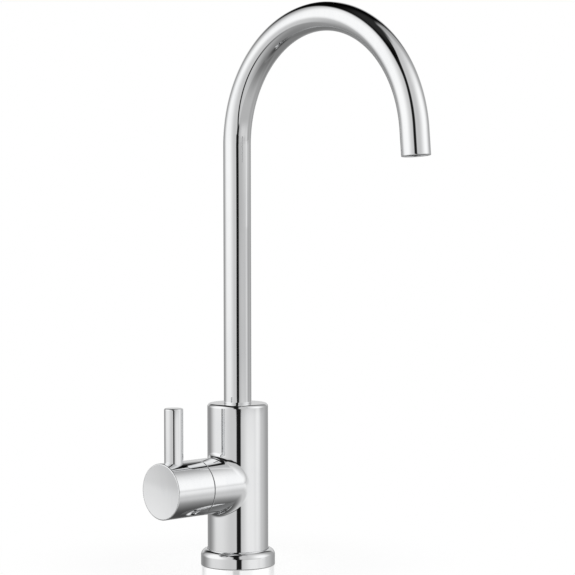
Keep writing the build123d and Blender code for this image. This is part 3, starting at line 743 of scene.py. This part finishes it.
def hub_screw():
    """Screw in the hub's underside that clamps it on the spindle."""
    return set_down(set_screw("hub_screw", 8.2), (-LEVER_S, 0, 25.75), (pi, 0, 0))


# Materials

def added(tree, kind):
    return tree.nodes.new("ShaderNode" + kind)


def nodes_of(material):
    material.use_nodes = True
    tree = material.node_tree
    tree.nodes.clear()
    output = added(tree, "OutputMaterial")
    shader = added(tree, "BsdfPrincipled")
    tree.links.new(shader.outputs[0], output.inputs["Surface"])
    return tree, shader


def feed(tree, socket, value):
    """Gives a socket a plain value, or links another node's output to it."""
    if isinstance(value, (int, float, tuple)):
        socket.default_value = value
    else:
        tree.links.new(value, socket)


def wired(tree, node, *values):
    """Feeds a node's sockets in their order and gives the node's outputs."""
    for socket, value in zip(node.inputs, values):
        feed(tree, socket, value)
    return node.outputs


def fed(tree, node, inputs):
    """Feeds a node's sockets by their labels and gives the node's outputs."""
    for label, value in inputs.items():
        feed(tree, node.inputs[label], value)
    return node.outputs


def maths(tree, operation, *values, clamp=False):
    node = added(tree, "Math")
    node.operation = operation
    node.use_clamp = clamp
    return wired(tree, node, *values)[0]


def product(tree, *values):
    return chained(tree, "MULTIPLY", values)


def total(tree, *values):
    return chained(tree, "ADD", values)


def chained(tree, operation, values):
    found = values[0]
    for value in values[1:]:
        found = maths(tree, operation, found, value)
    return found


def less(tree, value, taken):
    return maths(tree, "SUBTRACT", value, taken)


def step(tree, value, start, end, height=1.0, base=0.0):
    """Goes softly from base to base plus height as the value goes from start to end."""
    node = added(tree, "MapRange")
    node.interpolation_type = "SMOOTHSTEP"
    return fed(tree, node, {"Value": value, "From Min": start, "From Max": end, "To Min": base,
                            "To Max": base + height})[0]


def vectors(tree, operation, *values):
    node = added(tree, "VectorMath")
    node.operation = operation
    return wired(tree, node, *values)["Value" if operation in ("LENGTH", "DOT_PRODUCT") else "Vector"]


def noise(tree, place, scale, detail=3.0):
    """Soft noise of this many features per metre."""
    node = added(tree, "TexNoise")
    return fed(tree, node, {"Vector": place, "Detail": detail, "Scale": scale})["Fac"]


def effect(name, outputs, inputs=(("Scale", "NodeSocketFloat"),)):
    """A shared effect with named sockets; gives its tree, its own coordinates and both ends."""
    tree = bpy.data.node_groups.new(name, "ShaderNodeTree")
    for label, kind in inputs:
        tree.interface.new_socket(name=label, in_out="INPUT", socket_type=kind)
    for label in outputs:
        tree.interface.new_socket(name=label, in_out="OUTPUT", socket_type="NodeSocketFloat")
    place = added(tree, "TexCoord").outputs["Object"]
    return tree, place, tree.nodes.new("NodeGroupInput").outputs, tree.nodes.new("NodeGroupOutput").inputs


def wiped_haze():
    """Patches left by a polishing cloth, with fine streaks in them."""
    tree, place, given, out = effect("wiped_haze", ["Haze"])
    patches = noise(tree, place, given["Scale"], 4.0)
    stretched = vectors(tree, "MULTIPLY", place, (1.0, 1.0, 0.12))
    streaks = noise(tree, stretched, product(tree, given["Scale"], 14.0), 2.0)
    both = total(tree, product(tree, patches, 0.7), product(tree, streaks, 0.3))
    tree.links.new(step(tree, both, 0.42, 0.66), out["Haze"])
    return tree


def plating_ripple():
    """Slow unevenness of a buffed and plated skin."""
    tree, place, given, out = effect("plating_ripple", ["Height"])
    slow = noise(tree, place, given["Scale"], 1.0)
    quick = noise(tree, place, product(tree, given["Scale"], 6.0), 1.0)
    tree.links.new(total(tree, slow, product(tree, quick, 0.1)), out["Height"])
    return tree


def turning_marks():
    """Fine tool lines round an axis through a centre, rings on the faces square to it."""
    inputs = [("Axis", "NodeSocketVector"), ("Centre", "NodeSocketVector"), ("Scale", "NodeSocketFloat")]
    tree, place, given, out = effect("turning_marks", ["Height"], inputs)
    arm = vectors(tree, "SUBTRACT", place, given["Centre"])
    along = vectors(tree, "DOT_PRODUCT", arm, given["Axis"])
    sideways = vectors(tree, "CROSS_PRODUCT", arm, given["Axis"])
    line = total(tree, along, vectors(tree, "LENGTH", sideways))
    node = added(tree, "TexNoise")
    node.noise_dimensions = "1D"
    rings = fed(tree, node, {"Detail": 2.0, "Scale": 1.0, "W": product(tree, line, given["Scale"])})
    tree.links.new(rings["Fac"], out["Height"])
    return tree


def tarnish():
    """Darker clouds and specks on bare metal."""
    tree, place, given, out = effect("tarnish", ["Mask"])
    clouds = step(tree, noise(tree, place, given["Scale"], 5.0), 0.44, 0.68, 0.75)
    fine = noise(tree, place, product(tree, given["Scale"], 9.0), 1.0)
    specks = step(tree, fine, 0.66, 0.74, 0.5)
    tree.links.new(maths(tree, "ADD", clouds, specks, clamp=True), out["Mask"])
    return tree


def moulded_skin():
    """Grain of a mould's wall and the slightly uneven tone of moulded stock."""
    tree, place, given, out = effect("moulded_skin", ["Height", "Tone"])
    tree.links.new(noise(tree, place, given["Scale"], 2.0), out["Height"])
    cloud = noise(tree, place, product(tree, given["Scale"], 0.06), 3.0)
    tree.links.new(step(tree, cloud, 0.35, 0.68), out["Tone"])
    return tree


def placed(tree, shared, output, values):
    """Puts a shared effect into a material's tree with its own values and gives one of its outputs."""
    node = added(tree, "Group")
    node.node_tree = shared
    return fed(tree, node, values)[output]


def finished(name, plain, worn, metallic, roughness, mask, relief, depth):
    """A finish between two tones and two roughnesses, spread by a mask, with a relief this deep in metres."""
    material = bpy.data.materials.new(name)
    tree, shader = nodes_of(material)
    spread = placed(tree, *mask)
    colour = added(tree, "Mix")
    colour.data_type = "RGBA"
    tree.links.new(spread, colour.inputs["Factor"])
    colour.inputs[6].default_value = (*plain, 1)
    colour.inputs[7].default_value = (*worn, 1)
    smooth_part, rough_part = roughness
    rough = total(tree, product(tree, spread, rough_part - smooth_part), smooth_part)
    bump = fed(tree, added(tree, "Bump"), {"Distance": depth, "Height": placed(tree, *relief)})
    fed(tree, shader, {"Metallic": metallic, "Base Color": colour.outputs[2], "Roughness": rough,
                       "Normal": bump["Normal"]})
    return material


def all_finishes():
    """Every finish of the tap, under the name of its slot."""
    haze, ripple, marks = wiped_haze(), plating_ripple(), turning_marks()
    dull, skin = tarnish(), moulded_skin()

    def chromed(name, scale):
        return finished(name, (0.87, 0.875, 0.88), (0.84, 0.848, 0.858), 1.0, (0.028, 0.06),
                        (haze, "Haze", {"Scale": scale}), (ripple, "Height", {"Scale": 38.0}), 3e-5)

    def brass(name, axis, centre):
        return finished(name, (0.80, 0.62, 0.33), (0.58, 0.42, 0.20), 1.0, (0.2, 0.42),
                        (dull, "Mask", {"Scale": 260.0}),
                        (marks, "Height", {"Axis": axis, "Centre": centre, "Scale": 5200.0}), 7e-6)

    def moulded(name, plain, worn, roughness, scale=2600.0, depth=9e-6):
        return finished(name, plain, worn, 0.0, roughness, (skin, "Tone", {"Scale": scale}),
                        (skin, "Height", {"Scale": scale}), depth)

    return {
        "polished_chrome": chromed("polished_chrome_plate", 48.0),
        "chromed_tube": chromed("chromed_tube_plate", 36.0),
        "turned_brass": brass("turned_brass_bar", (0, 0, 1), (0, 0, 0)),
        "valve_brass": brass("turned_valve_brass", (1, 0, 0), (0, 0, BRANCH_Z * MM)),
        "plated_steel": finished("zinc_plated_steel", (0.64, 0.64, 0.62), (0.47, 0.48, 0.48), 1.0,
                                 (0.24, 0.44), (dull, "Mask", {"Scale": 520.0}),
                                 (skin, "Height", {"Scale": 1900.0}), 6e-6),
        "black_rubber": moulded("moulded_black_rubber", (0.026, 0.026, 0.027), (0.05, 0.05, 0.05),
                                (0.5, 0.74), 3400.0),
        "white_acetal": moulded("white_moulding", (0.86, 0.86, 0.83), (0.79, 0.79, 0.755), (0.34, 0.5)),
        "grey_collet": moulded("grey_moulding", (0.33, 0.35, 0.37), (0.27, 0.285, 0.30), (0.32, 0.48)),
        "dark_acetal": moulded("dark_moulding", (0.065, 0.065, 0.072), (0.095, 0.095, 0.1), (0.3, 0.48)),
        "valve_ceramic": moulded("lapped_ceramic", (0.9, 0.89, 0.86), (0.83, 0.815, 0.775), (0.1, 0.24),
                                 5200.0, 1.5e-6),
    }


# Studio

Directions = namedtuple("Directions", "round_by height shifted across up")


def toned(tree, base, mask, tone):
    """Base goes over to tone where the mask is 1."""
    node = added(tree, "Mix")
    return fed(tree, node, {"Factor": mask, "A": base, "B": tone})["Result"]


def mixed(tree, share, one, two):
    """Shader one goes over to shader two where the share is 1."""
    return wired(tree, added(tree, "MixShader"), share, one, two)[0]


def shader_of(tree, kind, **values):
    return fed(tree, added(tree, kind), values)[0]


def bearing(tree, place):
    """Degrees that a place or a direction lies to the right of the camera, seen from the tap."""
    to_right = vectors(tree, "DOT_PRODUCT", place, (cos(CAMERA_TURN), sin(CAMERA_TURN), 0.0))
    to_camera = vectors(tree, "DOT_PRODUCT", place, (sin(CAMERA_TURN), -cos(CAMERA_TURN), 0.0))
    return product(tree, maths(tree, "ARCTAN2", to_right, to_camera), 1 / DEGREE)


# The studio's tones by direction: across goes by degrees round the tap, up by degrees above its level

def room(tree, at):
    """Dark room with a little light on its ceiling, and the white backdrop behind the tap."""
    ceiling = at.up(52, 78, 0.13, 0.05)
    behind = maths(tree, "ABSOLUTE", at.round_by)
    above = less(tree, at.height, at.across(150, 165, 12.0))
    backdrop = product(tree, step(tree, behind, 134, 152), step(tree, above, 33, 11))
    return toned(tree, ceiling, backdrop, step(tree, behind, 140, 166, 0.04, 0.75))


def table(tree, at):
    """Pale table, darker at the tap's back and away from the softboxes, with a sheen at its far edge."""
    across, up = at.across, at.up
    sheen = product(tree, across(11, 42), across(92, 58), up(-22, -10), up(-3.5, -7.5, 0.55, 0.45), 0.138)
    side_sheen = product(tree, across(66, 82), across(102, 87), up(-20, -3), 0.14)
    tone = total(tree, up(-34, -80, -0.29, 0.77), sheen, side_sheen)
    tone = toned(tree, tone, across(96, 146), up(-12, -34, -0.12, 0.60))
    tone = toned(tree, tone, product(tree, across(-35, -105), up(-20, -30)), up(-34, -62, -0.06, 0.56))
    return toned(tree, tone, across(-128, -142), up(-2, -40, -0.13, 0.58))


def right_box(tree, at, tone):
    """Softbox on the right: it stands on the table's level, reaches far up and has its foot in shade."""
    across, up = at.across, at.up
    leaning = less(tree, at.shifted, up(50, 84, 34.0))
    box = product(tree, step(tree, leaning, -1.5, 8), across(157, 138), up(85, 70), up(-2.5, 1.0))
    glow = product(tree, across(26, 78), across(132, 84), up(74, 24), up(-3, 9, 0.65, 0.35), 0.225)
    tone = toned(tree, tone, box, total(tree, glow, 0.762, across(100, 134, -0.12)))
    shade = product(tree, across(4, 10), across(124, 106), up(-1.15, -0.8), up(9, 4.5),
                    up(4.5, -1.8, 0.7, 0.3))
    deep = total(tree, across(81.5, 76, 0.085), across(87, 95, 0.115))
    return less(tree, tone, product(tree, shade, deep))


def left_box(tree, at, tone):
    """Softbox on the left: a flat screen from below the table's level to well above the tap."""
    across, up = at.across, at.up
    facing = maths(tree, "COSINE", product(tree, total(tree, at.round_by, 80.0), DEGREE))
    rise = maths(tree, "TANGENT", product(tree, at.height, DEGREE))
    screen = maths(tree, "DIVIDE", rise, maths(tree, "MAXIMUM", facing, 0.001))
    screen = maths(tree, "MINIMUM", screen, 50.0)
    box = product(tree, step(tree, at.shifted, -8.5, -20), across(-156, -130), step(tree, screen, 2.15, 1.4),
                  up(-36, -27))
    leaning = total(tree, at.round_by, up(-7.6, -9.2, -20.0, 8.0))
    glow = product(tree, across(-20, -68), step(tree, leaning, -128, -92), up(76, 34), up(-20, 4), 0.21)
    edge = product(tree, across(-88, -136), up(6, -10, 0.16, 0.10))
    return toned(tree, tone, box, less(tree, total(tree, glow, 0.775), edge))


def table_edge(tree, at, tone):
    """The table's dark edge, a straight line along the floor on the left."""
    slope = maths(tree, "COSINE", product(tree, total(tree, at.round_by, 72.0), DEGREE))
    slope = maths(tree, "ARCTANGENT", product(tree, slope, 0.70))
    line = total(tree, at.height, product(tree, slope, 1 / DEGREE))
    dark = product(tree, step(tree, line, -5.5, -1.5), step(tree, line, 5.5, 1.5),
                   at.across(-96, -38), at.across(13, 6))
    return toned(tree, tone, dark, 0.09)


def gap(tree, at, tone):
    """The dark gap between the boxes, wider at the height where the riser mirrors it."""
    up = at.up
    wider = product(tree, up(-6.1, -5.4), up(7, 4))
    left = total(tree, at.shifted, total(tree, product(tree, wider, up(1.5, -4.0, 3.5)), 1.5))
    right = less(tree, at.shifted, less(tree, product(tree, wider, up(-2.5, 0.5, 2.5, 2.0)), 0.5))
    dark = product(tree, step(tree, left, -14, -9.5), step(tree, right, 5.0, -0.5), up(-16, -11), up(60, 50))
    return toned(tree, tone, dark, 0.12)


def studio_light():
    """The studio as the polish mirrors it; the camera and matt surfaces see plain white instead."""
    world = bpy.data.worlds.new("studio")
    bpy.context.scene.world = world
    world.use_nodes = True
    tree = world.node_tree
    tree.nodes.clear()
    place = added(tree, "TexCoord").outputs["Generated"]
    upward = wired(tree, added(tree, "SeparateXYZ"), place)["Z"]
    round_by = bearing(tree, place)
    height = product(tree, maths(tree, "ARCSINE", upward), 1 / DEGREE)
    across, up = partial(step, tree, round_by), partial(step, tree, height)
    # The gap that the camera looks through stands further right below eye level
    at = Directions(round_by, height, less(tree, round_by, up(7, -3, 9.0)), across, up)
    tone = toned(tree, room(tree, at), up(3.0, 1.2), table(tree, at))
    for fitting in (right_box, left_box, table_edge, gap):
        tone = fitting(tree, at, tone)
    light = product(tree, maths(tree, "POWER", tone, DISPLAY_GAMMA), 1.13)
    surroundings = shader_of(tree, "Background", Color=light)
    backdrop = shader_of(tree, "Background", Color=WHITE)
    seen = added(tree, "LightPath").outputs
    plain = maths(tree, "MAXIMUM", seen["Is Camera Ray"], seen["Is Diffuse Ray"])
    wired(tree, added(tree, "OutputWorld"), mixed(tree, plain, surroundings, backdrop))


def seen_by_camera(tree, matt, away, camera):
    """Matt table with a soft shadow near the tap, white beyond, and a faint mirror image of the foot."""
    white = shader_of(tree, "Emission", Color=WHITE)
    lit = mixed(tree, product(tree, step(tree, away, 0.018, 0.12, 0.22, 0.78), camera), matt, white)
    mirror = shader_of(tree, "BsdfAnisotropic", Color=WHITE, Roughness=0.12)
    glow = shader_of(tree, "Emission", Strength=0.36)
    image = wired(tree, added(tree, "AddShader"), mirror, glow)[0]
    return mixed(tree, product(tree, step(tree, away, 0.075, 0.02, 0.62), camera), lit, image)


def seen_in_polish(tree, place, away):
    """The studio's tones through the table, with painted shade under the tap and far out on the right."""
    flat_on = fed(tree, added(tree, "LayerWeight"), {"Blend": 0.5})["Facing"]
    # Painted shade: near the tap the table darkens the studio's tones that the polish mirrors
    shade = product(tree, step(tree, away, 0.08, 0.01), step(tree, flat_on, 0.75, 0.38, 0.44))
    # Only what stands higher than the column mirrors the far painted shade
    across = partial(step, tree, bearing(tree, place))
    mirror_height = product(tree, away, less(tree, 1.0, flat_on))
    far = product(tree, step(tree, mirror_height, 0.070, 0.078), step(tree, away, 11.0, 8.0), across(4, 10),
                  across(124, 106), across(86, 95, 0.06, 0.10))
    # The painted shade near the tap and far out is taken off the studio's tones that pass through
    kept = product(tree, less(tree, 1.0, shade), less(tree, 1.0, far))
    return shader_of(tree, "BsdfTransparent", Color=maths(tree, "POWER", kept, DISPLAY_GAMMA))


def floor():
    """Pale table top, seen from above only."""
    fresh()
    bpy.ops.mesh.primitive_plane_add(size=24.0)
    top = bpy.context.object
    top.name = "floor"
    material = bpy.data.materials.new("white_table")
    tree, shader = nodes_of(material)
    fed(tree, shader, {"Base Color": (0.92, 0.92, 0.92, 1), "Roughness": 0.5, "Specular IOR Level": 0.0})
    place = added(tree, "TexCoord").outputs["Object"]
    away = vectors(tree, "LENGTH", place)
    seen = added(tree, "LightPath").outputs
    lit = seen_by_camera(tree, shader.outputs[0], away, seen["Is Camera Ray"])
    lit = mixed(tree, seen["Is Glossy Ray"], lit, seen_in_polish(tree, place, away))
    from_below = added(tree, "NewGeometry").outputs["Backfacing"]
    lit = mixed(tree, from_below, lit, shader_of(tree, "BsdfTransparent"))
    tree.links.new(lit, tree.nodes["Material Output"].inputs["Surface"])
    top.data.materials.append(material)


def photo_camera():
    """The photograph's viewpoint, from the fit of the tap's outlines."""
    data = bpy.data.cameras.new("photo_camera")
    data.lens = CAMERA_LENS
    data.sensor_width = 36.0
    data.clip_end = 20.0
    camera = bpy.data.objects.new("photo_camera", data)
    bpy.context.collection.objects.link(camera)
    bpy.context.scene.camera = camera
    turn, pitch, roll = CAMERA_TURN + AIM_TURN, AIM_PITCH, AIM_ROLL
    ahead = Vector((-sin(turn) * cos(pitch), cos(turn) * cos(pitch), sin(pitch)))
    right = Vector((cos(turn), sin(turn), 0))
    up = right.cross(ahead)
    right, up = right * cos(roll) + up * sin(roll), up * cos(roll) - right * sin(roll)
    place = Vector((sin(CAMERA_TURN) * CAMERA_AWAY, -cos(CAMERA_TURN) * CAMERA_AWAY, CAMERA_HEIGHT)) * MM
    camera.matrix_world = Matrix.LocRotScale(place, Matrix((right, up, -ahead)).transposed(), None)


photo_camera()
studio_light()
floor()
bpy.context.scene.view_settings.view_transform = "Standard"

PIECES = (
    (body_casting, "body", "tap_body", "polished_chrome"),
    (spout, "spout_tube", "spout", "chromed_tube"),
    (base_ring, "base_ring", "tap_body", "polished_chrome"),
    (hub, "handle_hub", "handle", "polished_chrome"),
    (lever, "lever_pin", "handle", "polished_chrome"),
    (shank, "threaded_shank", "tap_body", "turned_brass"),
    (fixing_nut, "fixing_nut", "deck_clamp", "turned_brass"),
    (fixing_washer, "fixing_washer", "deck_clamp", "plated_steel"),
    (lock_washer, "lock_washer", "deck_clamp", "plated_steel"),
    (deck_gasket, "deck_gasket", "deck_clamp", "black_rubber"),
    (base_seal, "base_seal", "tap_body", "black_rubber"),
    (spout_screw, "spout_grub_screw", "tap_body", "plated_steel"),
    (hub_screw, "hub_grub_screw", "handle", "plated_steel"),
)
# Name, inner radius, section and place of each O-ring, whether it is on the branch, its node and its body
O_RINGS = (
    ("lower_spout_ring", 5.075, 1.3, 54.35, False, "spigot_o_ring_lower", "spout"),
    ("upper_spout_ring", 5.075, 1.3, 58.75, False, "spigot_o_ring_upper", "spout"),
    ("shank_ring", 4.725, 1.25, 11.5, False, "shank_o_ring", "tap_body"),
    ("inlet_ring", 3.275, 1.75, -59.5, False, "inlet_o_ring", "tap_body"),
    ("inner_spindle_ring", 3.025, 0.95, 16.25, True, "spindle_o_ring_inner", "handle"),
    ("outer_spindle_ring", 3.025, 0.95, 20.25, True, "spindle_o_ring_outer", "handle"),
    ("sleeve_ring", 9.275, 1.05, 22.5, True, "sleeve_o_ring", "tap_body"),
)
# The deck hides these from the polish above it
BELOW_DECK = ("threaded_shank", "fixing_nut", "fixing_washer", "lock_washer", "deck_gasket", "inlet_adapter",
              "inlet_collet")
VALVE_BRASS = ("cartridge_sleeve", "spindle")

finishes = all_finishes()


def dressed(piece, node, body, finish):
    """The piece takes the CAD node's place, rides on its body and gets its finish."""
    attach(piece, body)
    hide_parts(node)
    piece.data.materials.clear()
    piece.data.materials.append(finishes[finish])
    piece.visible_glossy = node not in BELOW_DECK


for make, node, rides, finish in PIECES:
    dressed(make(), node, rides, finish)
for *measures, node, rides in O_RINGS:
    dressed(o_ring(*measures), node, rides, "black_rubber")
for name, node in nodes.items():
    node.visible_glossy = name not in BELOW_DECK
    for slot in node.material_slots:
        slot.material = finishes["valve_brass" if name in VALVE_BRASS else slot.material.name]
